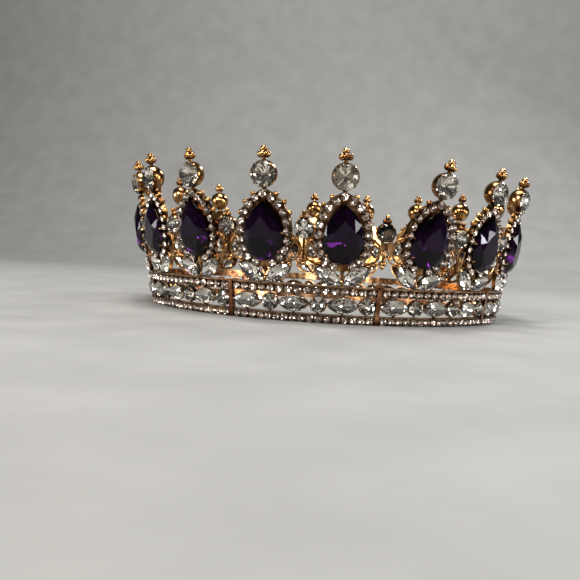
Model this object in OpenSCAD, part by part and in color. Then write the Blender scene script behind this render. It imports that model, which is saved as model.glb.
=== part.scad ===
// Full-round crown: a stone-set band of nine segments under eighteen peaks.
// A wall point is given by its way up the slope (s) and out of the wall (n).
// Azimuth 0 is the front of the crown, on -Y, and grows towards +X.

/* [Wall] */
// Radius of the wall's middle at its foot
foot_r = 70; // [69.5:0.25:71]
// Outward slope of the wall, in degrees
wall_slope = 10; // [9:0.5:11]

/* [Band] */
// Height of the band along the slope
band_h = 12.8; // [12.7:0.05:12.85]
// Height of each rail strip
rail_h = 3.1; // [3:0.05:3.2]
// Width of the bar at each joint of the band
bar_w = 1.5; // [1.2:0.1:1.6]
// Radius of the round stones in the rails
rail_stone_r = 1.2; // [1.1:0.05:1.25]

/* [Peaks] */
// Way up the slope to the widest point of a pear stone
pear_s = 27; // [26.8:0.1:27.2]
// Width of a pear stone
pear_w = 13; // [12.6:0.1:13]
// Height of a pear stone
pear_h = 18; // [17.6:0.1:18.2]
// Radius of the row of small stones round a pear, at its lower half
halo_r = 8.2; // [8.2:0.05:8.3]
// Diameter of the round stone on each peak
crest_d = 8; // [7.6:0.1:8]
// Diameter of the round stone between two peaks
link_d = 5.8; // [5.4:0.1:5.8]
// Length of a leaf stone
leaf_l = 10; // [9.6:0.1:10.1]
// Width of a leaf stone
leaf_w = 4.6; // [4.2:0.1:4.7]

/* [Hidden] */
$fn = 40;
gap = 0.1;                 // clearance between a stone and its setting
segments = 9;
peaks = 18;
peak_step = 360 / peaks;
segment_step = 360 / segments;

// Sideways bend of each peak and of the link on its right, in degrees, from
// the first peak right of the front and on round the crown.
PEAK = 0;
LINK = 1;
bends = [
    [-2.5, 0], [9, 8], [7, 6], [5, 4], [3, 2], [1, 0.5],
    [0, 0], [-1, 0], [0, 0.5], [1, 0.5], [0, 0], [0, -0.5],
    [-1, -0.5], [0, 0], [0, -0.5], [-1, -1.5], [-3, -2], [-0.5, -1]
];

// Band
strip_in = 0.5;            // the strips' inner face, into the wall
strip_out = 0.4;           // the strips' outer face, out of the wall
wire_h = 0.4;              // plain wire along the top edge of each strip
wire_out = 1.05;
rail_low_s = 1.45;         // middle of the lower row of rail stones
rail_high_s = 10.95;       // middle of the upper row
mid_s = 6.35;              // middle of the row of large stones
bar_in = 0.4;              // the bar's inner face, into the wall
bar_out = 1.35;
segment_gap = 0.12;
mid_l = 10;                // marquise stone of the middle row
mid_w = 5;
mid_d = 5;                 // round stone of the middle row
pairs = 3;                 // marquise and round pairs in a segment
setting_rim = 0.35;        // how far a setting shows round its stone
setting_seat = 0.15;       // how far it reaches in under the girdle
post_r = 0.3;
tab_r = 1.7;

// Peak
pear_r = pear_w / 2;
pear_top = pear_h - pear_r;
plate_in = 0.6;
plate_out = 0.6;
halo_straight = 3;
halo_top = 15;
halo_stone_r = 1.2;
pivot_y = -12.95;          // foot bead, about which a bent peak leans
foot_bead_r = 1.1;
cup_wall = 0.4;
leaf_tilt = 33;
leaf_tip = [0.5, -13.5];   // inner tip of a leaf stone
crest_y = 21;              // middle of the crest stone over the pear's middle
link_s = 31;               // middle of a link stone, up the slope
scroll_r = 4.1;
scroll_wire = 0.42;
scroll_mid = [8, -2.7];
scroll_from = -100;
scroll_to = 72;

function wall_r(s) = foot_r + s * sin(wall_slope);
function wall_pt(s, n) = [
    foot_r + s * sin(wall_slope) + n * cos(wall_slope),
    s * cos(wall_slope) - n * sin(wall_slope)
];
function floor_pt(n) = wall_pt(n * tan(wall_slope), n);
function arc_deg(s, len) = len / wall_r(s) * 180 / PI;
function peak_az(i) = (i + 0.5) * peak_step;
function two(k) = str(k < 10 ? "0" : "", k);

// Outlines

// Reach of an outline from its middle at polar angle a.
function pear_reach(r, top, a) =
    let (big = (top * top + r * r) / (2 * r), d = big - r)
    sin(a) <= 0 ? r : sqrt(pow(d * cos(a), 2) + big * big - d * d) - d * abs(cos(a));

function polar(reach, a) = [reach * cos(a), reach * sin(a)];
function pear_girdle(r, top) =
    [for (j = [0:15]) polar(pear_reach(r, top, 90 - j * 22.5), 90 - j * 22.5)];
function round_girdle(r) = [for (j = [0:8]) polar(r, j * 40)];

// A round foot of radius r, straight sides up to s and a pointed arch to top.
function ogive(r, s, top, n) =
    let (big = (pow(top - s, 2) + r * r) / (2 * r), d = big - r, sweep = asin((top - s) / big))
    concat(
        [for (j = [0:2 * n]) polar(r, 180 + j * 90 / n)],
        [for (j = [(s > 0 ? 0 : 1):n]) [big * cos(j * sweep / n) - d, s + big * sin(j * sweep / n)]],
        [for (j = [n - 1:-1:(s > 0 ? 0 : 1)]) [d - big * cos(j * sweep / n), s + big * sin(j * sweep / n)]]
    );
function marquise(l, w, n) =
    let (big = (l * l + w * w) / (4 * w), d = big - w / 2, half = asin(l / 2 / big))
    concat(
        [for (j = [0:n]) [big * sin(half - 2 * half * j / n), big * cos(half - 2 * half * j / n) - d]],
        [for (j = [1:n - 1]) [big * sin(2 * half * j / n - half), d - big * cos(2 * half * j / n - half)]]
    );

// Places

// Puts a flat piece on the wall: x to the right, y up the slope, z out.
module on_wall(az, s) {
    rotate([0, 0, az]) translate([0, -foot_r, 0]) rotate([90 + wall_slope, 0, 0])
        translate([0, s, 0]) children();
}

// Puts a peak's piece round its pear's middle, leaning about the foot bead.
module on_peak(i) {
    on_wall(peak_az(i), pear_s) translate([0, pivot_y, 0]) rotate([0, 0, -bends[i][PEAK]])
        translate([0, -pivot_y, 0]) children();
}

// Puts the link on the right of peak i round its stone's middle.
module on_link(i) {
    drop = pear_s + pivot_y - link_s;
    on_wall(peak_az(i) + peak_step / 2, link_s) translate([0, drop, 0])
        rotate([0, 0, -bends[i][LINK]]) translate([0, -drop, 0]) children();
}

// Puts the k-th marquise, or the round on its right, of a band segment.
module on_band(segment, k, is_round) {
    clear = wall_r(mid_s) * segment_step * PI / 180 - bar_w;
    pair = clear / pairs;
    spare = (pair - mid_l - mid_d) / 2;
    along = -clear / 2 + k * pair
        + (is_round ? spare * 1.5 + mid_l + mid_d / 2 : spare / 2 + mid_l / 2);
    on_wall(segment * segment_step + arc_deg(mid_s, along), mid_s) children();
}

// Turns a profile of radius and height about the crown's axis.
module wall_sweep(from_az, to_az) {
    rotate([0, 0, from_az - 90]) rotate_extrude(angle = to_az - from_az) children();
}

// Metal shapes

// Bezel between two outlines, from n = low to n = high.
module bezel(outer, inner, low, high) {
    translate([0, 0, low]) linear_extrude(high - low) difference() {
        polygon(outer);
        polygon(inner);
    }
}

// Ball whose seam is turned clear of what the ball meets.
module bead(x, y, n, r) {
    translate([x, y, n]) rotate([0, 0, 285]) sphere(r = r);
}

// Rod along y, on the wall's middle.
module rod(x, y_low, y_high, n, r) {
    translate([x, y_low, n]) rotate([-90, 0, 0]) cylinder(r = r, h = y_high - y_low);
}

// Hollow ball about n = mid, cut open at n = rim, to hold a round stone.
module cup(outer, mid, rim) {
    rotate([0, 0, 17]) difference() {
        translate([0, 0, mid]) sphere(r = outer);
        translate([0, 0, mid]) sphere(r = outer - cup_wall);
        translate([0, 0, rim]) cylinder(r = outer + 1, h = 2 * outer);
    }
}

// Plain cut: table, one row of facets, girdle and a pointed back.
module plain_stone(girdle, low, high, crown, pavilion, table) {
    n = len(girdle);
    points = concat(
        [for (g = girdle) [g[0] * table, g[1] * table, high + crown]],
        [for (g = girdle) [g[0], g[1], high]],
        [for (g = girdle) [g[0], g[1], low]],
        [[0, 0, low - pavilion]]
    );
    faces = concat(
        [[for (j = [n - 1:-1:0]) j]],
        [for (j = [0:n - 1]) [j, (j + 1) % n, n + (j + 1) % n, n + j]],
        [for (j = [0:n - 1]) [n + j, n + (j + 1) % n, 2 * n + (j + 1) % n, 2 * n + j]],
        [for (j = [0:n - 1]) [2 * n + j, 2 * n + (j + 1) % n, 3 * n]]
    );
    polyhedron(points, faces);
}

// Brilliant cut: table, stars, kites and halves over a pointed back.
module cut_stone(girdle, low, high, crown, pavilion, table) {
    mid = (1 + table) / 2 + 0.05;
    lift = high + crown * 0.56;
    points = concat(
        [for (j = [0:7]) [girdle[2 * j][0] * table, girdle[2 * j][1] * table, high + crown]],
        [for (j = [0:7]) [girdle[2 * j + 1][0] * mid, girdle[2 * j + 1][1] * mid, lift]],
        [for (g = girdle) [g[0], g[1], high]],
        [for (g = girdle) [g[0], g[1], low]],
        [[0, 0, low - pavilion]]
    );
    faces = concat(
        [[for (j = [0:7]) j]],
        [for (j = [0:7]) [(j + 1) % 8, j, 8 + j]],
        [for (j = [0:7]) [j, 16 + 2 * j, 8 + j]],
        [for (j = [0:7]) [j, 8 + (j + 7) % 8, 16 + 2 * j]],
        [for (j = [0:7]) [8 + j, 16 + 2 * j, 17 + 2 * j]],
        [for (j = [0:7]) [8 + j, 17 + 2 * j, 16 + (2 * j + 2) % 16]],
        [for (j = [0:15]) [16 + j, 32 + j, 32 + (j + 1) % 16, 16 + (j + 1) % 16]],
        [for (j = [0:15]) [32 + j, 48, 32 + (j + 1) % 16]]
    );
    polyhedron(points, faces);
}

// Sub-parts

// Flat strip of the band with a wire along its top edge.
module rail_strip(low_in, low_out, top_s, from_az, to_az) {
    wall_sweep(from_az, to_az) polygon([
        low_in, low_out, wall_pt(top_s - wire_h, strip_out), wall_pt(top_s - wire_h, wire_out),
        wall_pt(top_s, wire_out), wall_pt(top_s, -strip_in)
    ]);
}

module marquise_setting() {
    bezel(marquise(mid_l + 3 * setting_rim, mid_w + 2 * setting_rim, 6),
        marquise(mid_l - 3 * setting_seat, mid_w - 2 * setting_seat, 6), -0.6, 0.55);
}

module round_setting() {
    difference() {
        translate([0, 0, -0.6]) cylinder(r = mid_d / 2 + setting_rim, h = 1.15);
        translate([0, 0, -1]) cylinder(r = mid_d / 2 - setting_seat, h = 2);
    }
}

module band_posts() {
    reach = mid_w / 2 + 0.15;
    rod(0, reach, band_h - rail_h - mid_s + 0.3, 0, post_r);
    rod(0, rail_h - mid_s - 0.2, -reach, 0, post_r);
}

module band_segment(k) {
    half_bar = arc_deg(mid_s, bar_w / 2);
    from_az = (k - 0.5) * segment_step + half_bar + arc_deg(mid_s, segment_gap);
    to_az = (k + 0.5) * segment_step;
    color("#b08a4e") union() {
        rail_strip(floor_pt(-strip_in), floor_pt(strip_out), rail_h, from_az, to_az);
        rail_strip(wall_pt(band_h - rail_h, -strip_in), wall_pt(band_h - rail_h, strip_out),
            band_h, from_az, to_az);
        on_wall(to_az, 0.3) translate([-bar_w / 2, 0, -bar_in])
            cube([bar_w, band_h - 0.4, bar_in + bar_out]);
        for (j = [0:pairs - 1]) {
            on_band(k, j, false) {
                marquise_setting();
                band_posts();
            }
            on_band(k, j, true) {
                round_setting();
                band_posts();
            }
        }
        if (k == 0) on_wall(to_az, band_h - 0.3) joint_tab();
    }
}

// Half-round tab over the joint at the front.
module joint_tab() {
    intersection() {
        translate([0, 0, -bar_in + 0.1]) cylinder(r = tab_r, h = 0.9, $fn = 12);
        translate([-2 * tab_r, -0.35, -1]) cube([4 * tab_r, 2 * tab_r, 3]);
    }
}

// Plate that carries the row of small stones, open round the pear's top.
module halo_plate() {
    bezel(ogive(halo_r + halo_stone_r, halo_straight, halo_top + 1.45, 5),
        ogive(pear_r + 0.15, halo_straight + 0.4, halo_top - 1.3, 5), -plate_in, plate_out);
}

module pear_setting() {
    rim = setting_rim;
    bezel(ogive(pear_r + rim, 0, pear_top + 1.3 * rim, 6),
        ogive(pear_r - setting_seat, 0, pear_top - 1.3 * setting_seat, 5), -0.9, 1.8);
    rod(0, pear_top - 0.1, halo_top - 1, 0, 0.6);
}

// Gold balls outside the top of the row, and the drop below it.
module halo_trim() {
    for (side = [-1, 1]) {
        bead(side * 3.9, 14.5, 0, 0.95);
        bead(side * 6.6, 12, 0, 0.95);
        bead(side * 8.4, 8.6, 0, 0.95);
    }
    translate([0, -halo_r - 0.9, 0.3]) rotate([90, 0, 0]) cylinder(r1 = 0.75, r2 = 0.25, h = 2.6);
}

module leaf_settings() {
    for (side = [-1, 1]) mirror([side < 0 ? 1 : 0, 0, 0]) {
        translate([leaf_tip[0], leaf_tip[1], 0]) rotate([0, 0, leaf_tilt])
            translate([leaf_l / 2, 0, 0])
                bezel(marquise(leaf_l + 3 * setting_rim, leaf_w + 2 * setting_rim, 5),
                    marquise(leaf_l - 3 * setting_seat, leaf_w - 2 * setting_seat, 5), -0.5, 0.65);
    }
    bead(0, pivot_y, 0, foot_bead_r);
}

module crest() {
    r = crest_d / 2;
    rod(0, halo_top + 0.6, crest_y - r - 0.15, 0, 0.75);
    translate([0, crest_y, 0]) {
        cup(r + 0.45, 0.2, 1.2);
        rod(0, r + 0.15, r + 3, 0, 0.7);
        bead(0, r + 3.7, 0, 1.2);
        for (side = [-1, 1]) {
            bead(side * 1.2, r + 2.1, 0, 1.15);
            bead(0, r + 2.3, side * 1.05, 1.1);
        }
    }
}

module scrolls() {
    for (side = [-1, 1]) mirror([side < 0 ? 1 : 0, 0, 0]) {
        translate([scroll_mid[0], scroll_mid[1], 0]) rotate([0, 0, scroll_from])
            rotate_extrude(angle = scroll_to - scroll_from) translate([scroll_r, 0]) circle(r = scroll_wire);
        bead(7.1, -6.9, 0, 0.8);
        bead(8.2, -7.75, 0, 0.9);
        bead(9.55, 0.3, 0, 0.8);
    }
}

module link() {
    r = link_d / 2;
    meet_y = pear_s + scroll_mid[1] - link_s;
    cup(r + 0.4, 0.1, 0.9);
    bead(-0.75, r + 0.85, 0, 0.8);
    bead(0.75, r + 0.85, 0, 0.8);
    bead(0, r + 2.15, 0, 0.8);
    rod(0, -11, -r - 0.1, 0, 0.4);
    bead(-0.55, meet_y, 0.55, 0.8);
    bead(-0.65, -10.2, 0, 0.75);
    bead(0.65, -10.2, 0, 0.75);
    bead(0, -11.3, 0, 0.8);
}

module peak(i) {
    color("#b08a4e") union() {
        on_peak(i) {
            halo_plate();
            pear_setting();
            halo_trim();
            leaf_settings();
            crest();
            scrolls();
        }
        on_link(i) link();
    }
}

module pear_stone(i) {
    color("#1c0c28") on_peak(i)
        cut_stone(pear_girdle(pear_r, pear_top), 2.05, 2.4, 2, 3.8, 0.6);
}

module crest_stones() {
    color("#d9d6cc") for (i = [0:peaks - 1]) on_peak(i) translate([0, crest_y, 0])
        plain_stone(round_girdle(crest_d / 2), 1.4, 1.6, 1.7, 3.1, 0.56);
}

module link_stones() {
    color("#d9d6cc") for (i = [0:peaks - 1]) on_link(i)
        plain_stone(round_girdle(link_d / 2), 1.1, 1.3, 1.3, 2.2, 0.56);
}

module leaf_stones() {
    color("#d9d6cc") for (i = [0:peaks - 1], side = [0, 1]) on_peak(i) mirror([side, 0, 0])
        translate([leaf_tip[0], leaf_tip[1], 0]) rotate([0, 0, leaf_tilt])
            translate([leaf_l / 2, 0, 0])
                plain_stone(marquise(leaf_l, leaf_w, 5), 0.8, 1, 1.1, 1.5, 0.58);
}

module band_marquises() {
    color("#d9d6cc") for (k = [0:segments - 1], j = [0:pairs - 1]) on_band(k, j, false)
        plain_stone(marquise(mid_l, mid_w, 5), 0.75, 0.95, 1.1, 1.6, 0.58);
}

module band_rounds() {
    color("#d9d6cc") for (k = [0:segments - 1], j = [0:pairs - 1]) on_band(k, j, true)
        plain_stone(round_girdle(mid_d / 2), 0.75, 0.95, 1.1, 1.6, 0.56);
}

// Row of small stones round each pear, as one ring a peak.
module halo_rows() {
    color("#cfc9bb") for (i = [0:peaks - 1]) on_peak(i)
        bezel(ogive(halo_r + halo_stone_r, halo_straight, halo_top + 1.4, 5),
            ogive(halo_r - halo_stone_r, halo_straight, halo_top - 1.4, 5),
            plate_out + gap, plate_out + gap + 1);
}

// Row of small stones in a rail, as one rounded bar in each segment.
module rail_row(s) {
    half = arc_deg(s, bar_w / 2 + gap + segment_gap);
    low = strip_out + gap;
    color("#cfc9bb") for (k = [0:segments - 1])
        wall_sweep((k - 0.5) * segment_step + half, (k + 0.5) * segment_step - half)
            polygon([
                wall_pt(s - rail_stone_r, low), wall_pt(s - rail_stone_r, low + 0.5),
                wall_pt(s - rail_stone_r / 2, low + 1.1), wall_pt(s + rail_stone_r / 2, low + 1.1),
                wall_pt(s + rail_stone_r, low + 0.5), wall_pt(s + rail_stone_r, low)
            ]);
}

for (k = [0:segments - 1])
    band_segment(k);
for (i = [0:peaks - 1])
    peak(i);
for (i = [0:peaks - 1])
    pear_stone(i);
crest_stones();
link_stones();
leaf_stones();
band_marquises();
band_rounds();
halo_rows();
rail_row(rail_low_s);  // lower_rail_row
rail_row(rail_high_s);  // upper_rail_row
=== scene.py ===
import math
import random

import bpy
from mathutils import Matrix, Vector


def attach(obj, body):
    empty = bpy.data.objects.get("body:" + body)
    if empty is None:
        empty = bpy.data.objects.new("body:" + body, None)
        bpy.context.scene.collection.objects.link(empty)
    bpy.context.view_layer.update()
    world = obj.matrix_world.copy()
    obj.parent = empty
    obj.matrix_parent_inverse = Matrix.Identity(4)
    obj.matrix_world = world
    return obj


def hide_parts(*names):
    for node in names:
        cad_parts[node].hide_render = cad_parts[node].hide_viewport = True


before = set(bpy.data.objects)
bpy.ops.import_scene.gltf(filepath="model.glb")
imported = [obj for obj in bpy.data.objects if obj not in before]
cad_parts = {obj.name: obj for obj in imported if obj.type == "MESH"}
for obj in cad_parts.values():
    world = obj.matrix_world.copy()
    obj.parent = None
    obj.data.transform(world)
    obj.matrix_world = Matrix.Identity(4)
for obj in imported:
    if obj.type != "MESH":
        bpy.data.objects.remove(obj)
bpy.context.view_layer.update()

print("frame loaded,", len(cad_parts), "nodes")

# Sizes are given in millimetres and turned to metres as a thing is placed.
mm = 0.001

# The wall leans outwards, and a place on it is an azimuth from the front, a way
# up the slope and a way out of the wall. Azimuths grow towards the right.
wall = {
    "footRadius": 70.0,                   # middle of the wall at its foot
    "slope": 10.0,                        # degrees
    "segments": 9,
    "peaks": 18,
    "pearUp": 27.0,                       # up the slope to the widest part of a pear
    "footBead": 12.95,                    # down from there to the bead a peak leans on
    "linkUp": 31.0,                       # up the slope to a link's stone
}
peaks = range(wall["peaks"])
segments = range(wall["segments"])

# Sideways bend of each peak and of the link on its right, in degrees. The crown
# has been handled, and hardly a peak stands quite straight.
bends = [
    (-2.5, 0), (9, 8), (7, 6), (5, 4), (3, 2), (1, 0.5),
    (0, 0), (-1, 0), (0, 0.5), (1, 0.5), (0, 0), (0, -0.5),
    (-1, -0.5), (0, 0), (0, -0.5), (-1, -1.5), (-3, -2), (-0.5, -1),
]


# A place on the wall has x to the right, y up the slope and z out.
def onWall(azimuth, up):
    return (
        Matrix.Rotation(math.radians(azimuth), 4, "Z")
        @ Matrix.Translation((0, -wall["footRadius"] * mm, 0))
        @ Matrix.Rotation(math.radians(90 + wall["slope"]), 4, "X")
        @ Matrix.Translation((0, up * mm, 0))
    )


def leanAbout(drop, degrees):
    pivot = Matrix.Translation((0, -drop * mm, 0))
    return pivot @ Matrix.Rotation(math.radians(-degrees), 4, "Z") @ pivot.inverted()


def onPeak(number):
    azimuth = (number + 0.5) * 360 / wall["peaks"]
    return onWall(azimuth, wall["pearUp"]) @ leanAbout(wall["footBead"], bends[number][0])


def onLink(number):
    azimuth = (number + 1) * 360 / wall["peaks"]
    drop = wall["linkUp"] - wall["pearUp"] + wall["footBead"]
    return onWall(azimuth, wall["linkUp"]) @ leanAbout(drop, bends[number][1])


def shift(x, y, z, degrees=0.0, scale=1.0):
    return (
        Matrix.Translation((x * mm, y * mm, z * mm))
        @ Matrix.Rotation(math.radians(degrees), 4, "Z")
        @ Matrix.Scale(scale, 4)
    )


def wallRadius(up):
    return wall["footRadius"] + up * math.sin(math.radians(wall["slope"]))


def degreesAlong(up, length):
    return math.degrees(length / wallRadius(up))


def two(number):
    return f"{number + 1:02d}"


# Materials

def linearColor(hexText):
    parts = [int(hexText[i:i + 2], 16) / 255 for i in (1, 3, 5)]
    return [c / 12.92 if c <= 0.04045 else ((c + 0.055) / 1.055) ** 2.4 for c in parts] + [1.0]


# Settings that the node itself has are set on it, and the others on its sockets.
def addNode(tree, kind, settings, links=()):
    node = tree.nodes.new("ShaderNode" + kind)
    for name, value in settings.items():
        if isinstance(name, str) and hasattr(node, name):
            setattr(node, name, value)
        else:
            node.inputs[name].default_value = value
    for name, output in links:
        tree.links.new(output, node.inputs[name])
    return node


def newMaterial(name):
    material = bpy.data.materials.new(name)
    material.use_nodes = True
    material.node_tree.nodes.clear()
    return material, material.node_tree


def finishMaterial(tree, shader):
    addNode(tree, "OutputMaterial", {}, [("Surface", shader.outputs[0])])


def setRamp(ramp, stops):
    elements = ramp.color_ramp.elements
    stops = list(stops)
    while len(elements) < len(stops):
        elements.new(0.5)
    for element, (position, hexText) in zip(elements, stops):
        element.position = position
        element.color = linearColor(hexText)


goldLook = {
    "patch": 3.0,                         # mm, size of a patch of brighter or browner plating
    "patchStops": (0.32, 0.5, 0.66),      # of the noise, for dark, middle and light plating
    "grain": 0.35,                        # mm, cast skin, drawn coarser than the real 0.1
    "grainDepth": 0.05,                   # mm
    "grainStrength": 0.25,
    "roughest": 0.28,
    "smoothest": 0.11,
    "creviceDepth": 2.2,                  # mm, how near a wall the painted shade gathers
    "creviceOpen": (0.35, 0.95),          # how open a spot is where the painted shade is full, and gone
    "paintedShade": "#2C160C",
    "heatTint": "#7A3E28",
    "heatReach": (2.6, 0.9),              # degrees from a joint, to the first and the full blush
    "heatFull": 0.7,
}


# Gold-plated zinc casting, tumbled and lacquered. The eye gets warm yellow on what
# stands out, copper-brown painted shade in every recess and an uneven, bead-soft shine.
def platedGold(name, light, middle, dark, jointBars=False):
    material, tree = newMaterial(name)
    place = addNode(tree, "TexCoord", {}).outputs["Object"]
    patches = addNode(tree, "TexNoise", {"Scale": 1 / (goldLook["patch"] * mm), "Detail": 3.0,
                                         "Roughness": 0.6}, [("Vector", place)])
    grain = addNode(tree, "TexNoise", {"Scale": 1 / (goldLook["grain"] * mm), "Detail": 2.0},
                    [("Vector", place)])
    plating = addNode(tree, "ValToRGB", {}, [(0, patches.outputs[0])])
    setRamp(plating, zip(goldLook["patchStops"], (dark, middle, light)))
    color = plating.outputs[0]
    if jointBars:                         # solder heat has reddened the plating at each joint
        parts = addNode(tree, "SeparateXYZ", {}, [(0, place)])
        back = addNode(tree, "Math", {"operation": "MULTIPLY", 1: -1.0}, [(0, parts.outputs[1])])
        turn = addNode(tree, "Math", {"operation": "ARCTAN2"},
                       [(0, parts.outputs[0]), (1, back.outputs[0])])
        step = math.radians(360 / wall["segments"])
        near = addNode(tree, "Math", {"operation": "PINGPONG", 1: step / 2},
                       [(0, turn.outputs[0])])
        blush, full = (step / 2 - math.radians(reach) for reach in goldLook["heatReach"])
        heat = addNode(tree, "MapRange", {"From Min": blush, "From Max": full,
                                          "To Max": goldLook["heatFull"]},
                       [(0, near.outputs[0])])
        uneven = addNode(tree, "Math", {"operation": "MULTIPLY"},
                         [(0, heat.outputs[0]), (1, grain.outputs[0])])
        color = addNode(tree, "Mix", {"data_type": "RGBA", 7: linearColor(goldLook["heatTint"])},
                        [(0, uneven.outputs[0]), (6, color)]).outputs[2]
    # Painted shade: an occlusion test darkens the plating to dark brown in every recess.
    crevice = addNode(tree, "AmbientOcclusion", {"samples": 4,
                                                 "Distance": goldLook["creviceDepth"] * mm})
    shut, unshaded = goldLook["creviceOpen"]
    depth = addNode(tree, "MapRange", {"From Min": shut, "From Max": unshaded, "To Min": 1.0,
                                       "To Max": 0.0}, [(0, crevice.outputs["AO"])])
    color = addNode(tree, "Mix", {"data_type": "RGBA", 7: linearColor(goldLook["paintedShade"])},
                    [(0, depth.outputs[0]), (6, color)]).outputs[2]
    rough = addNode(tree, "MapRange", {"To Min": goldLook["smoothest"],
                                       "To Max": goldLook["roughest"]},
                    [(0, patches.outputs[0])])
    skin = addNode(tree, "Bump", {"Strength": goldLook["grainStrength"],
                                  "Distance": goldLook["grainDepth"] * mm},
                   [("Height", grain.outputs[0])])
    shader = addNode(tree, "BsdfPrincipled", {"Metallic": 1.0},
                     [("Base Color", color), ("Roughness", rough.outputs[0]),
                      ("Normal", skin.outputs[0])])
    finishMaterial(tree, shader)
    return material


# Machine-cut glass, fire polished. The eye gets sharp facets that carry the room
# in them, and what shows through is whatever the foil behind throws back. The dark
# stones are given less bending than real glass has, which keeps glare off their tables.
def cutGlass(name, tint, bending):
    material, tree = newMaterial(name)
    shader = addNode(tree, "BsdfPrincipled", {"Base Color": linearColor(tint), "Roughness": 0.0,
                                              "IOR": bending, "Transmission Weight": 1.0})
    finishMaterial(tree, shader)
    return material


foilLook = {
    "cloud": 0.8,                         # mm, size of a cloudy spot
    "cloudStops": (0.35, 0.6),            # of the noise, for cloudy and bright foil
    "shadedEvery": 3,                       # each third facet of a back has the darker foil, painted shade
    "turnedBack": -0.05,                  # a facet that faces further back than this has foil
}


# Silver foil burnt on behind the stone, under a thin lacquer. It is a mirror with
# fine cloudy spots, and gives the glass its grey, white and straw-coloured flashes.
def stoneFoil(name, bright, cloudy, roughness):
    material, tree = newMaterial(name)
    place = addNode(tree, "TexCoord", {}).outputs["Object"]
    clouds = addNode(tree, "TexNoise", {"Scale": 1 / (foilLook["cloud"] * mm), "Detail": 2.0},
                     [("Vector", place)])
    tone = addNode(tree, "ValToRGB", {}, [(0, clouds.outputs[0])])
    setRamp(tone, zip(foilLook["cloudStops"], (cloudy, bright)))
    shader = addNode(tree, "BsdfPrincipled", {"Metallic": 1.0, "Roughness": roughness},
                     [("Base Color", tone.outputs[0])])
    finishMaterial(tree, shader)
    return material


bandGold = platedGold("platedGoldBand", "#D6AC7C", "#9C7350", "#583524", jointBars=True)
peakGold = platedGold("platedGoldPeaks", "#D3A972", "#8C653A", "#4B2A18")
settingGold = platedGold("platedGoldSettings", "#E0BA8C", "#A0774A", "#5A3620")
clearGlass = cutGlass("clearCutGlass", "#FDFAF3", 1.5)
purpleGlass = cutGlass("purpleCutGlass", "#1C0526", 1.3)
silverFoil = stoneFoil("silverFoil", "#FFFFFF", "#FAF6F0", 0.08)
# A darker copy of the silver foil: painted shade on each third facet of a stone's back.
paintedShadeFoil = stoneFoil("paintedShadeSilverFoil", "#A0978A", "#6A6256", 0.03)
smallFoil = stoneFoil("smallStoneFoil", "#FFF0EA", "#EFDAD0", 0.03)
print("materials made")


# Modelling helpers

def clearSelection():
    if bpy.context.object and bpy.context.object.mode != "OBJECT":
        bpy.ops.object.mode_set(mode="OBJECT")
    bpy.ops.object.select_all(action="DESELECT")


def makeActive(piece):
    clearSelection()
    piece.select_set(True)
    bpy.context.view_layer.objects.active = piece


# Leaves the piece in edit mode with only the faces that pass the test selected.
def pickFaces(piece, test):
    bpy.ops.object.mode_set(mode="EDIT")
    bpy.ops.mesh.select_mode(type="FACE")
    bpy.ops.mesh.select_all(action="DESELECT")
    bpy.ops.object.mode_set(mode="OBJECT")
    for face in piece.data.polygons:
        face.select = test(face)
    bpy.ops.object.mode_set(mode="EDIT")


def pickVertices(piece, test):
    bpy.ops.object.mode_set(mode="EDIT")
    bpy.ops.mesh.select_mode(type="VERT")
    bpy.ops.mesh.select_all(action="DESELECT")
    bpy.ops.object.mode_set(mode="OBJECT")
    for vertex in piece.data.vertices:
        vertex.select = test(vertex.co)
    bpy.ops.object.mode_set(mode="EDIT")


def pickTop(piece):
    top = max(v.co.z for v in piece.data.vertices)
    pickFaces(piece, lambda face: face.normal.z > 0.9 and face.center.z > top - 1e-6)


def pickBottom(piece):
    low = min(v.co.z for v in piece.data.vertices)
    pickFaces(piece, lambda face: face.normal.z < -0.9 and face.center.z < low + 1e-6)


def growFace(rise, scale, turn=0.0):
    bpy.ops.mesh.extrude_region_move(TRANSFORM_OT_translate={"value": (0, 0, rise * mm)})
    bpy.ops.transform.resize(value=(scale, scale, 1), center_override=(0, 0, 0))
    if turn:
        bpy.ops.transform.rotate(value=math.radians(turn), orient_axis="Z",
                                 center_override=(0, 0, 0))


mend = {"weld": 0.01, "flat": 0.5}        # mm between corners, degrees between facets


# A solid's mesh has a corner for each face that meets there, and its flat faces are
# cut in triangles. Corners are merged and each flat face becomes one facet.
def mendMesh():
    bpy.ops.mesh.remove_doubles(threshold=mend["weld"] * mm)
    bpy.ops.mesh.dissolve_limited(angle_limit=math.radians(mend["flat"]))


def giveMaterials(piece, *materials):
    piece.data.materials.clear()
    for material in materials:
        piece.data.materials.append(material)


# Copies a model to every place, each copy with its own mesh, and joins them.
def placeCopies(model, places, name):
    clearSelection()
    for place in places:
        twin = model.copy()
        twin.data = model.data.copy()
        twin.data.transform(place)
        bpy.context.scene.collection.objects.link(twin)
        twin.select_set(True)
        bpy.context.view_layer.objects.active = twin
    bpy.ops.object.join()
    piece = bpy.context.object
    piece.name = name
    piece.data.name = name
    return piece


def fit(piece, slot, *nodes):
    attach(piece, "root")
    if nodes:
        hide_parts(*nodes)


def dropModel(model):
    bpy.data.objects.remove(model)


# A round outline becomes a marquise when it is narrowed beyond these shares of its
# half length.
marquiseEnds = {"far": 0.7, "farWidth": 0.62, "near": 0.3, "nearWidth": 0.93}


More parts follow.
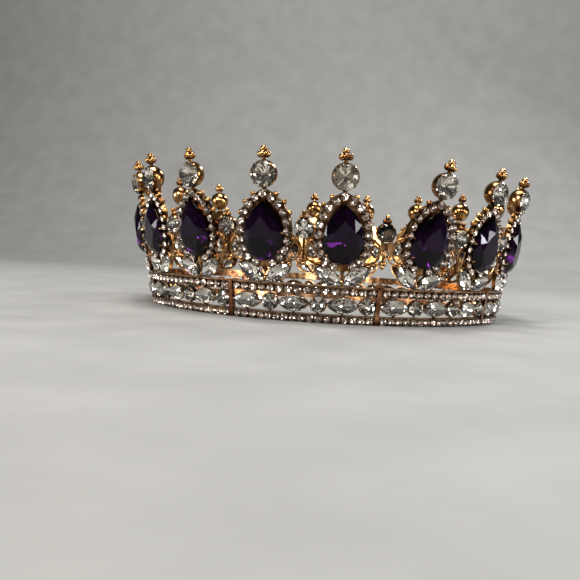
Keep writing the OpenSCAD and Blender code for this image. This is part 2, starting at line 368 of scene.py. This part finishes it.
# A stone's girdle starts at z = 0. Twisted rows of facets climb to the table, and
# the back runs down to a point in one row, which shows through as a star.
def modelStone(name, cut, glass, *foils):
    clearSelection()
    half = cut["length"] / 2
    turn = 180 / cut["sides"]
    bpy.ops.mesh.primitive_cylinder_add(vertices=cut["sides"], radius=half * mm,
                                        depth=cut["girdle"] * mm,
                                        location=(0, 0, cut["girdle"] / 2 * mm))
    stone = bpy.context.object
    stone.name = name
    bpy.ops.object.transform_apply(location=True, rotation=True, scale=True)
    pickTop(stone)
    growFace(cut["crown"] * 0.5, cut["shoulder"], turn)
    growFace(cut["crown"] * 0.5, cut["table"] / cut["shoulder"], -turn)
    pickBottom(stone)
    growFace(-cut["back"], 0.5)
    bpy.ops.mesh.merge(type="CENTER")
    bpy.ops.mesh.select_all(action="SELECT")
    bpy.ops.transform.resize(value=(1, cut["width"] / cut["length"], 1),
                             center_override=(0, 0, 0))
    if cut["pointed"]:
        far, near = (marquiseEnds[end] * half * mm for end in ("far", "near"))
        pickVertices(stone, lambda co: abs(co.x) > far)
        bpy.ops.transform.resize(value=(1, marquiseEnds["farWidth"], 1),
                                 center_override=(0, 0, 0))
        pickVertices(stone, lambda co: near < abs(co.x) < far)
        bpy.ops.transform.resize(value=(1, marquiseEnds["nearWidth"], 1),
                                 center_override=(0, 0, 0))
    bpy.ops.mesh.select_all(action="SELECT")
    bpy.ops.mesh.quads_convert_to_tris(quad_method="SHORTEST_DIAGONAL")
    giveMaterials(stone, glass, *foils)
    pickFaces(stone, lambda face: face.normal.z < foilLook["turnedBack"])
    stone.active_material_index = 1
    bpy.ops.object.material_slot_assign()
    # Each third facet of the back takes the darker foil, painted shade that draws the dark rays of
    # the star.
    if len(foils) > 1:
        sector = 2 * math.pi / cut["sides"]
        pickFaces(stone, lambda face: face.normal.z < foilLook["turnedBack"]
                  and int(math.atan2(face.center.y, face.center.x) // sector)
                  % foilLook["shadedEvery"] == 1)
        stone.active_material_index = 2
        bpy.ops.object.material_slot_assign()
    bpy.ops.object.mode_set(mode="OBJECT")
    return stone


# A prong stands on z = 0 and bends its tip inwards, towards -x.
prong = {"radius": 0.36, "height": 0.9, "tip": 0.55, "hook": 0.42, "sides": 6, "smooth": 50,
         "bends": ((0.55, 0.92), (0.45, 0.55))}     # share of the tip, and its thickness there


def modelProng():
    clearSelection()
    bpy.ops.mesh.primitive_cylinder_add(vertices=prong["sides"], radius=prong["radius"] * mm,
                                        depth=prong["height"] * mm,
                                        location=(0, 0, prong["height"] / 2 * mm))
    piece = bpy.context.object
    piece.name = "prongModel"
    bpy.ops.object.transform_apply(location=True, rotation=True, scale=True)
    pickTop(piece)
    for share, scale in prong["bends"]:
        bpy.ops.mesh.extrude_region_move(TRANSFORM_OT_translate={
            "value": (-prong["hook"] * share * mm, 0, prong["tip"] * share * mm)})
        bpy.ops.transform.resize(value=(scale, scale, 1))
    bpy.ops.object.mode_set(mode="OBJECT")
    giveMaterials(piece, settingGold)
    bpy.ops.object.shade_smooth_by_angle(angle=math.radians(prong["smooth"]))
    return piece


corners = (45, 135, 225, 315)                    # degrees, the prongs of a round cup

# Small round stones of the rails and of the rows round the pears, each in a
# pressed cup with four prongs, as cup chain is made.
smallStone = {"sides": 8, "length": 2.8, "width": 2.8, "girdle": 0.1, "crown": 0.55,
              "back": 0.42, "table": 0.5, "shoulder": 0.82, "pointed": False}
smallCup = {"sides": 8, "radius": 1.5, "height": 0.62, "rim": 0.12, "sunk": 0.4,
            "smooth": 40, "stoneUp": 0.02, "prongSides": 5, "prongRadius": 0.17,
            "prongTip": 0.5, "prongIn": 0.1, "prongHeight": 1.0}
rowScale = {"rail": 0.96, "halo": 1.02}          # the rails' stones are a size smaller
loose = {"tilt": 3.0, "turn": 45, "seed": 11}    # degrees; no two small stones sit alike
chance = random.Random(loose["seed"])


def sitLoosely(place):
    tilt = Matrix.Rotation(math.radians(chance.uniform(-loose["tilt"], loose["tilt"])), 4, "X")
    tip = Matrix.Rotation(math.radians(chance.uniform(-loose["tilt"], loose["tilt"])), 4, "Y")
    turn = Matrix.Rotation(math.radians(chance.uniform(0, loose["turn"])), 4, "Z")
    return place @ tilt @ tip @ turn


def modelSmallCup():
    clearSelection()
    bpy.ops.mesh.primitive_cylinder_add(vertices=smallCup["sides"], radius=smallCup["radius"] * mm,
                                        depth=smallCup["height"] * mm,
                                        location=(0, 0, smallCup["height"] / 2 * mm))
    cup = bpy.context.object
    cup.name = "smallCupModel"
    bpy.ops.object.transform_apply(location=True, rotation=True, scale=True)
    pickTop(cup)
    bpy.ops.mesh.inset(thickness=smallCup["rim"] * mm)
    bpy.ops.mesh.extrude_region_move(TRANSFORM_OT_translate={
        "value": (0, 0, -smallCup["sunk"] * mm)})
    bpy.ops.object.mode_set(mode="OBJECT")
    parts = [cup]
    reach = (smallCup["radius"] - smallCup["prongIn"]) * mm
    thick = smallCup["prongRadius"] * mm
    for corner in corners:
        angle = math.radians(corner)
        bpy.ops.mesh.primitive_cone_add(
            vertices=smallCup["prongSides"], radius1=thick, radius2=thick * smallCup["prongTip"],
            depth=smallCup["prongHeight"] * mm,
            location=(reach * math.cos(angle), reach * math.sin(angle),
                      smallCup["prongHeight"] / 2 * mm))
        parts.append(bpy.context.object)
        bpy.ops.object.transform_apply(location=True, rotation=True, scale=True)
    clearSelection()
    for part in parts:
        part.select_set(True)
    bpy.context.view_layer.objects.active = cup
    bpy.ops.object.join()
    giveMaterials(cup, settingGold)
    bpy.ops.object.shade_smooth_by_angle(angle=math.radians(smallCup["smooth"]))
    return cup


smallStoneModel = modelStone("smallStoneModel", smallStone, clearGlass, smallFoil, paintedShadeFoil)
smallCupModel = modelSmallCup()
prongModel = modelProng()
lift = shift(0, 0, smallCup["height"] + smallCup["stoneUp"])     # on the cup's rim


# Rows of small stones in the two rails of each band segment.
band = {
    "jointBar": 1.5,
    "barGap": 0.2,                        # between a joint's bar and the rows beside it
    "stripOut": 0.45,                     # the strips' outer face, out of the wall's middle
    "lowRow": {"up": 1.64, "stones": 17},
    "highRow": {"up": 10.95, "stones": 16},
    "middleUp": 6.35,
    "marquiseLength": 10.0,
    "round": 5.0,
    "pairs": 3,
}


def railPlaces(segment, row):
    step = 360 / wall["segments"]
    clear = step - 2 * degreesAlong(row["up"], band["jointBar"] / 2 + band["barGap"])
    start = segment * step - clear / 2
    return [onWall(start + (j + 0.5) * clear / row["stones"], row["up"])
            @ shift(0, 0, band["stripOut"], 0, rowScale["rail"]) for j in range(row["stones"])]


for rowName, node in (("lowRow", "lower_rail_row"), ("highRow", "upper_rail_row")):
    for segment in segments:
        places = railPlaces(segment, band[rowName])
        railName = node.replace("_row", "")
        cups = placeCopies(smallCupModel, places, f"{railName}_cups_{two(segment)}")
        fit(cups, "gold_band")
        stones = placeCopies(smallStoneModel, [sitLoosely(p @ lift) for p in places],
                             f"{railName}_stones_{two(segment)}")
        fit(stones, "small_stones", node)
print("rails set with small stones")


# Middle row of the band: three marquise and three round stones a segment.
def bandPlaces(segment, isRound):
    step = 360 / wall["segments"]
    clear = math.radians(step) * wallRadius(band["middleUp"]) - band["jointBar"]
    pair = clear / band["pairs"]
    length, diameter = band["marquiseLength"], band["round"]
    spare = (pair - length - diameter) / 2
    start = spare * 1.5 + length + diameter / 2 if isRound else spare / 2 + length / 2
    return [onWall(segment * step + degreesAlong(band["middleUp"], k * pair + start - clear / 2),
                   band["middleUp"]) for k in range(band["pairs"])]


bandMarquise = {"sides": 12, "length": 10.5, "width": 5.4, "girdle": 0.2, "crown": 1.1,
                "back": 1.6, "table": 0.56, "shoulder": 0.85, "pointed": True, "out": 0.75}
bandRound = {"sides": 12, "length": 5.4, "width": 5.4, "girdle": 0.2, "crown": 1.1,
             "back": 1.6, "table": 0.55, "shoulder": 0.85, "pointed": False, "out": 0.75}
crestCut = {"sides": 16, "length": 8.5, "width": 8.5, "girdle": 0.25, "crown": 1.7,
            "back": 3.6, "table": 0.54, "shoulder": 0.85, "pointed": False, "out": 1.4,
            "up": 21.0}
linkCut = {"sides": 12, "length": 6.2, "width": 6.2, "girdle": 0.2, "crown": 1.3,
           "back": 2.6, "table": 0.54, "shoulder": 0.85, "pointed": False, "out": 1.1}
leafCut = {"sides": 12, "length": 10.4, "width": 5.0, "girdle": 0.2, "crown": 1.1,
           "back": 1.5, "table": 0.56, "shoulder": 0.85, "pointed": True, "out": 0.8,
           "tilt": 33.0, "tipX": 0.5, "tipY": -13.5, "reach": 5.0}


def leafPlace(number, side):
    tilt = math.radians(leafCut["tilt"])
    x = leafCut["tipX"] + leafCut["reach"] * math.cos(tilt)
    y = leafCut["tipY"] + leafCut["reach"] * math.sin(tilt)
    turn = leafCut["tilt"] if side > 0 else 180 - leafCut["tilt"]
    return onPeak(number) @ shift(side * x, y, 0, turn)


def outBy(places, distance):
    return [place @ shift(0, 0, distance) for place in places]


marquisePlaces = {k: bandPlaces(k, False) for k in segments}
roundPlaces = {k: bandPlaces(k, True) for k in segments}
crestPlaces = {i: [onPeak(i) @ shift(0, crestCut["up"], 0)] for i in peaks}
linkPlaces = {i: [onLink(i)] for i in peaks}
leafPlaces = {i: [leafPlace(i, 1), leafPlace(i, -1)] for i in peaks}

for node, cut, groups in (
    ("band_marquises", bandMarquise, marquisePlaces),
    ("band_rounds", bandRound, roundPlaces),
    ("crest_stones", crestCut, crestPlaces),
    ("link_stones", linkCut, linkPlaces),
    ("leaf_stones", leafCut, leafPlaces),
):
    model = modelStone(node + "_model", cut, clearGlass, silverFoil, paintedShadeFoil)
    every = [place for group in groups.values() for place in group]
    piece = placeCopies(model, outBy(every, cut["out"]), node + "_cut")
    fit(piece, "clear_glass", node)
    dropModel(model)
print("clear stones cut and set")


# Pear stones: the solid's own brilliant cut, with foil laid on its back.
pear = {"radius": 6.5, "top": 11.5, "edge": 0.06, "wider": 1.05, "taller": 1.086,
        "middle": -2.4}


def pearReach(degrees):
    angle = math.radians(degrees)
    if math.sin(angle) <= 0:
        return pear["radius"]
    big = (pear["top"] ** 2 + pear["radius"] ** 2) / (2 * pear["radius"])
    inset = big - pear["radius"]
    return (math.sqrt((inset * math.cos(angle)) ** 2 + big ** 2 - inset ** 2)
            - inset * abs(math.cos(angle)))


for number in peaks:
    node = f"pear_stone_{two(number)}"
    stone = bpy.data.objects.new(f"pear_cut_{two(number)}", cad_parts[node].data.copy())
    bpy.context.scene.collection.objects.link(stone)
    out = onPeak(number).to_3x3() @ Vector((0, 0, 1))
    seat = onPeak(number) @ shift(0, pear["middle"], 0)
    spread = Matrix.Diagonal((pear["wider"], pear["taller"], 1, 1))
    stone.data.transform(seat @ spread @ seat.inverted())
    makeActive(stone)
    bpy.ops.object.mode_set(mode="EDIT")
    bpy.ops.mesh.select_all(action="SELECT")
    mendMesh()
    bpy.ops.object.mode_set(mode="OBJECT")
    bevel = stone.modifiers.new("softEdges", "BEVEL")
    bevel.width = pear["edge"] * mm
    bevel.segments = 1
    bpy.ops.object.modifier_apply(modifier=bevel.name)
    giveMaterials(stone, purpleGlass, silverFoil)
    pickFaces(stone, lambda face: face.normal.dot(out) < foilLook["turnedBack"])
    stone.active_material_index = 1
    bpy.ops.object.material_slot_assign()
    bpy.ops.object.mode_set(mode="OBJECT")
    bpy.ops.object.shade_flat()
    fit(stone, "purple_glass", node)
print("pear stones cut")


# Rows of small stones round the pears, from the foot round to the point.
halo = {"radius": 8.15, "straight": 3.0, "top": 14.8, "stones": 19, "plateOut": 0.65}


def haloPlaces(number):
    radius, straight = halo["radius"], halo["straight"]
    rise = halo["top"] - straight
    big = (rise ** 2 + radius ** 2) / (2 * radius)
    quarter = radius * math.pi / 2
    half = quarter + straight + big * math.asin(rise / big)
    pitch = 2 * half / (halo["stones"] + 1)
    places = []
    for j in range(halo["stones"]):
        way = (j + 1) * pitch
        side = 1 if j < halo["stones"] / 2 else -1
        way = min(way, 2 * half - way)
        if way < quarter:
            turn = way / radius - math.pi / 2
            x, y = radius * math.cos(turn), radius * math.sin(turn)
        elif way < quarter + straight:
            turn = 0
            x, y = radius, way - quarter
        else:
            turn = (way - quarter - straight) / big
            x, y = big * math.cos(turn) - big + radius, straight + big * math.sin(turn)
        facing = math.degrees(turn) if side > 0 else 180 - math.degrees(turn)
        places.append(onPeak(number)
                      @ shift(side * x, y, halo["plateOut"], facing, rowScale["halo"]))
    return places


for number in peaks:
    places = haloPlaces(number)
    cups = placeCopies(smallCupModel, places, f"halo_cups_{two(number)}")
    fit(cups, "gold_peak")
    stones = placeCopies(smallStoneModel, [sitLoosely(p @ lift) for p in places],
                         f"halo_stones_{two(number)}")
    fit(stones, "small_stones", "halo_rows")
print("rows set round the pears")


# Collar of thin sheet that closes the gap between a pear and the row round it. It
# is one ring of the rows' own solid, drawn in and flattened.
collar = {"from": 6, "width": 20.0, "depth": 5.0,     # the peak it comes from, and its room
          "scale": 0.84, "thinner": 0.4, "drop": 0.55}


def modelCollar():
    clearSelection()
    ring = bpy.data.objects.new("collarModel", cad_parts["halo_rows"].data.copy())
    bpy.context.scene.collection.objects.link(ring)
    ring.data.transform(onPeak(collar["from"]).inverted())
    makeActive(ring)
    pickVertices(ring, lambda co: co.xy.length > collar["width"] * mm
                 or abs(co.z) > collar["depth"] * mm)
    bpy.ops.mesh.delete(type="VERT")
    bpy.ops.mesh.select_all(action="SELECT")
    mendMesh()
    bpy.ops.transform.resize(value=(collar["scale"], collar["scale"], collar["thinner"]),
                             center_override=(0, 0, 0))
    bpy.ops.transform.translate(value=(0, 0, -collar["drop"] * mm))
    bpy.ops.object.mode_set(mode="OBJECT")
    giveMaterials(ring, settingGold)
    bpy.ops.object.shade_flat()
    return ring


collarModel = modelCollar()
for number in peaks:
    fit(placeCopies(collarModel, [onPeak(number)], f"pear_collar_{two(number)}"), "gold_peak")
dropModel(collarModel)
print("collars laid round the pears")


# Prongs over the girdles of the larger stones. Each set gives their reach from the
# middle of the stone or how far past its girdle they stand, their foot and scale.
prongSets = {
    "marquise": {"pastEnd": 0.1, "pastSide": 0.12, "foot": 0.0, "scale": 0.95},
    "round": {"reach": 2.62, "foot": 0.0, "scale": 0.95},
    "crest": {"reach": 4.1, "foot": 0.55, "scale": 1.05},
    "link": {"reach": 3.0, "foot": 0.3, "scale": 0.95},
    "pear": {"past": 0.1, "foot": 1.2, "scale": 1.15, "angles": (20, 90, 160, 215, 325)},
}


def prongAt(place, x, y, degrees, kind):
    return place @ shift(x, y, prongSets[kind]["foot"], degrees, prongSets[kind]["scale"])


def prongTurned(place, reach, degrees, kind):
    angle = math.radians(degrees)
    return prongAt(place, reach * math.cos(angle), reach * math.sin(angle), degrees, kind)


def roundProngs(place, kind):
    return [prongTurned(place, prongSets[kind]["reach"], a, kind) for a in corners]


def marquiseProngs(place, cut):
    x = cut["length"] / 2 + prongSets["marquise"]["pastEnd"]
    y = cut["width"] / 2 + prongSets["marquise"]["pastSide"]
    return [prongAt(place, *spot, "marquise")
            for spot in ((x, 0, 0), (-x, 0, 180), (0, y, 90), (0, -y, 270))]


for segment in segments:
    places = []
    for place in marquisePlaces[segment]:
        places += marquiseProngs(place, bandMarquise)
    for place in roundPlaces[segment]:
        places += roundProngs(place, "round")
    fit(placeCopies(prongModel, places, f"band_prongs_{two(segment)}"), "gold_band")

for number in peaks:
    places = [prongTurned(onPeak(number), pearReach(a) + prongSets["pear"]["past"], a, "pear")
              for a in prongSets["pear"]["angles"]]
    places += roundProngs(crestPlaces[number][0], "crest")
    places += roundProngs(linkPlaces[number][0], "link")
    for place in leafPlaces[number]:
        places += marquiseProngs(place, leafCut)
    fit(placeCopies(prongModel, places, f"peak_prongs_{two(number)}"), "gold_peak")
print("prongs closed over the stones")


# Small marquise stones in their own settings, inside the scrolls.
scrollCut = {"sides": 8, "length": 3.6, "width": 2.1, "girdle": 0.12, "crown": 0.55,
             "back": 0.6, "table": 0.55, "shoulder": 0.84, "pointed": True,
             "x": 10.4, "y": -2.7, "out": 0.55}
scrollCup = {"sides": 12, "length": 4.5, "width": 3.1, "height": 1.1, "rim": 0.35,
             "sunk": 0.4, "smooth": 40}


def modelScrollCup():
    clearSelection()
    half = scrollCup["length"] / 2 * mm
    bpy.ops.mesh.primitive_cylinder_add(vertices=scrollCup["sides"], radius=half,
                                        depth=scrollCup["height"] * mm)
    cup = bpy.context.object
    cup.name = "scrollCupModel"
    bpy.ops.object.mode_set(mode="EDIT")
    bpy.ops.mesh.select_all(action="SELECT")
    bpy.ops.transform.resize(value=(1, scrollCup["width"] / scrollCup["length"], 1),
                             center_override=(0, 0, 0))
    pickVertices(cup, lambda co: abs(co.x) > marquiseEnds["far"] * half)
    bpy.ops.transform.resize(value=(1, marquiseEnds["farWidth"], 1), center_override=(0, 0, 0))
    pickTop(cup)
    bpy.ops.mesh.inset(thickness=scrollCup["rim"] * mm)
    bpy.ops.mesh.extrude_region_move(TRANSFORM_OT_translate={
        "value": (0, 0, -scrollCup["sunk"] * mm)})
    bpy.ops.object.mode_set(mode="OBJECT")
    giveMaterials(cup, settingGold)
    bpy.ops.object.shade_smooth_by_angle(angle=math.radians(scrollCup["smooth"]))
    return cup


scrollStoneModel = modelStone("scrollStoneModel", scrollCut, clearGlass, silverFoil)
scrollCupModel = modelScrollCup()
for number in peaks:
    places = [onPeak(number) @ shift(side * scrollCut["x"], scrollCut["y"], 0, 90)
              for side in (1, -1)]
    fit(placeCopies(scrollCupModel, places, f"scroll_cups_{two(number)}"), "gold_peak")
    fit(placeCopies(scrollStoneModel, outBy(places, scrollCut["out"]),
                    f"scroll_stones_{two(number)}"), "small_stones")
for model in (scrollStoneModel, scrollCupModel, smallStoneModel, smallCupModel, prongModel):
    dropModel(model)
print("scroll stones set")


# The cast metal keeps its solids and takes the plating.
for name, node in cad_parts.items():
    if name.startswith("band_segment"):
        giveMaterials(node, bandGold)
    elif name.startswith("peak_"):
        giveMaterials(node, peakGold)


# Floor, light and camera
studio = {
    "floorHalf": 1.6,                     # metres, as the next three
    "floorBack": 0.45,
    "sweepRadius": 0.35,
    "backdropTop": 1.6,
    "sweepSteps": 16,
    "paper": ("#6D6D6B", "#757573"),
    "paperStops": (0.3, 0.7),
    "fibre": 25.0,                        # mm, size of a cloud in the paper
    "room": "#949494",
    "roomStrength": 0.2,
}


def makeSweep():
    clearSelection()
    bpy.ops.mesh.primitive_plane_add(size=2 * studio["floorHalf"],
                                     location=(0, studio["floorBack"] - studio["floorHalf"], 0))
    floor = bpy.context.object
    floor.name = "floor"
    bpy.ops.object.transform_apply(location=True, rotation=True, scale=True)
    bpy.ops.object.mode_set(mode="EDIT")
    bpy.ops.mesh.select_mode(type="EDGE")
    bpy.ops.mesh.select_all(action="DESELECT")
    bpy.ops.object.mode_set(mode="OBJECT")
    for edge in floor.data.edges:
        edge.select = all(floor.data.vertices[v].co.y > 0 for v in edge.vertices)
    bpy.ops.object.mode_set(mode="EDIT")
    radius, steps = studio["sweepRadius"], studio["sweepSteps"]
    for j in range(steps):
        a, b = (math.radians(90 * k / steps) for k in (j, j + 1))
        onwards, upwards = math.sin(b) - math.sin(a), math.cos(a) - math.cos(b)
        bpy.ops.mesh.extrude_region_move(TRANSFORM_OT_translate={
            "value": (0, radius * onwards, radius * upwards)})
    bpy.ops.mesh.extrude_region_move(TRANSFORM_OT_translate={
        "value": (0, 0, studio["backdropTop"])})
    bpy.ops.object.mode_set(mode="OBJECT")
    bpy.ops.object.shade_smooth()
    giveMaterials(floor, mattPaper())


# Seamless studio paper. The eye gets an even grey with faint clouds and no shine.
def mattPaper():
    material, tree = newMaterial("mattPaper")
    place = addNode(tree, "TexCoord", {}).outputs["Object"]
    fibre = addNode(tree, "TexNoise", {"Scale": 1 / (studio["fibre"] * mm), "Detail": 4.0},
                    [("Vector", place)])
    tone = addNode(tree, "ValToRGB", {}, [(0, fibre.outputs[0])])
    setRamp(tone, zip(studio["paperStops"], studio["paper"]))
    finishMaterial(tree, addNode(tree, "BsdfPrincipled", {"Roughness": 0.85},
                                 [("Base Color", tone.outputs[0])]))
    return material


makeSweep()

# Place and aim, size in metres, watts and colour of each softbox.
lights = {
    "keyLight": ((-0.27, -0.58, 0.40), (0, 0, 0.03), 0.13, 5.6, "#FFF9F0"),
    "frontWindow": ((0.17, -0.62, 0.36), (0, 0, 0.03), 0.09, 1.6, "#FFFFFF"),
    "fillLight": ((0.60, -0.42, 0.30), (0, 0, 0.03), 0.15, 2.4, "#FBFAFF"),
    "leftWindow": ((-0.62, -0.26, 0.12), (0, 0, 0.03), 0.24, 2.2, "#FFFFFF"),
    "rightWindow": ((0.60, -0.12, 0.10), (0, 0, 0.03), 0.20, 1.5, "#FFFFFF"),
    "rimLight": ((0.35, 0.50, 0.50), (0, 0, 0.03), 0.16, 3.4, "#FFFFFF"),
    "topLight": ((-0.10, 0.05, 0.75), (0, 0, 0.03), 0.20, 3.6, "#FFFCF6"),
    "backdropLight": ((0.0, -0.05, 1.00), (0, 0.80, 0.25), 0.60, 13.2, "#FFFEFC"),
}
for name, (spot, target, size, watts, tint) in lights.items():
    clearSelection()
    bpy.ops.object.light_add(type="AREA", location=spot)
    lamp = bpy.context.object
    lamp.name = name
    lamp.data.shape = "DISK"
    lamp.data.size = size
    lamp.data.energy = watts
    lamp.data.color = linearColor(tint)[:3]
    way = Vector(target) - Vector(spot)
    lamp.rotation_euler = way.to_track_quat("-Z", "Y").to_euler()

world = bpy.data.worlds.new("room")
bpy.context.scene.world = world
world.use_nodes = True
background = world.node_tree.nodes["Background"]
background.inputs["Color"].default_value = linearColor(studio["room"])
background.inputs["Strength"].default_value = studio["roomStrength"]

# The camera stands low in front, a little to the right, and leans.
view = {
    "distance": 297.0,                    # mm from the crown's axis
    "azimuth": 5.27,
    "height": 21.5,
    "yaw": -7.99,
    "pitch": -2.83,
    "roll": 3.26,
    "lens": 42.9,
}
cameraData = bpy.data.cameras.new("camera")
cameraData.sensor_width = 36.0
cameraData.lens = view["lens"]
cameraData.clip_start = 0.01
camera = bpy.data.objects.new("camera", cameraData)
bpy.context.scene.collection.objects.link(camera)
stand = math.radians(view["azimuth"])
camera.location = (view["distance"] * mm * math.sin(stand),
                   -view["distance"] * mm * math.cos(stand), view["height"] * mm)
camera.rotation_euler = (
    Matrix.Rotation(math.radians(-view["yaw"]), 4, "Z")
    @ Matrix.Rotation(math.radians(90 + view["pitch"]), 4, "X")
    @ Matrix.Rotation(math.radians(view["roll"]), 4, "Z")
).to_euler()
bpy.context.scene.camera = camera
bpy.context.scene.view_settings.view_transform = "Standard"

print("scene ready")
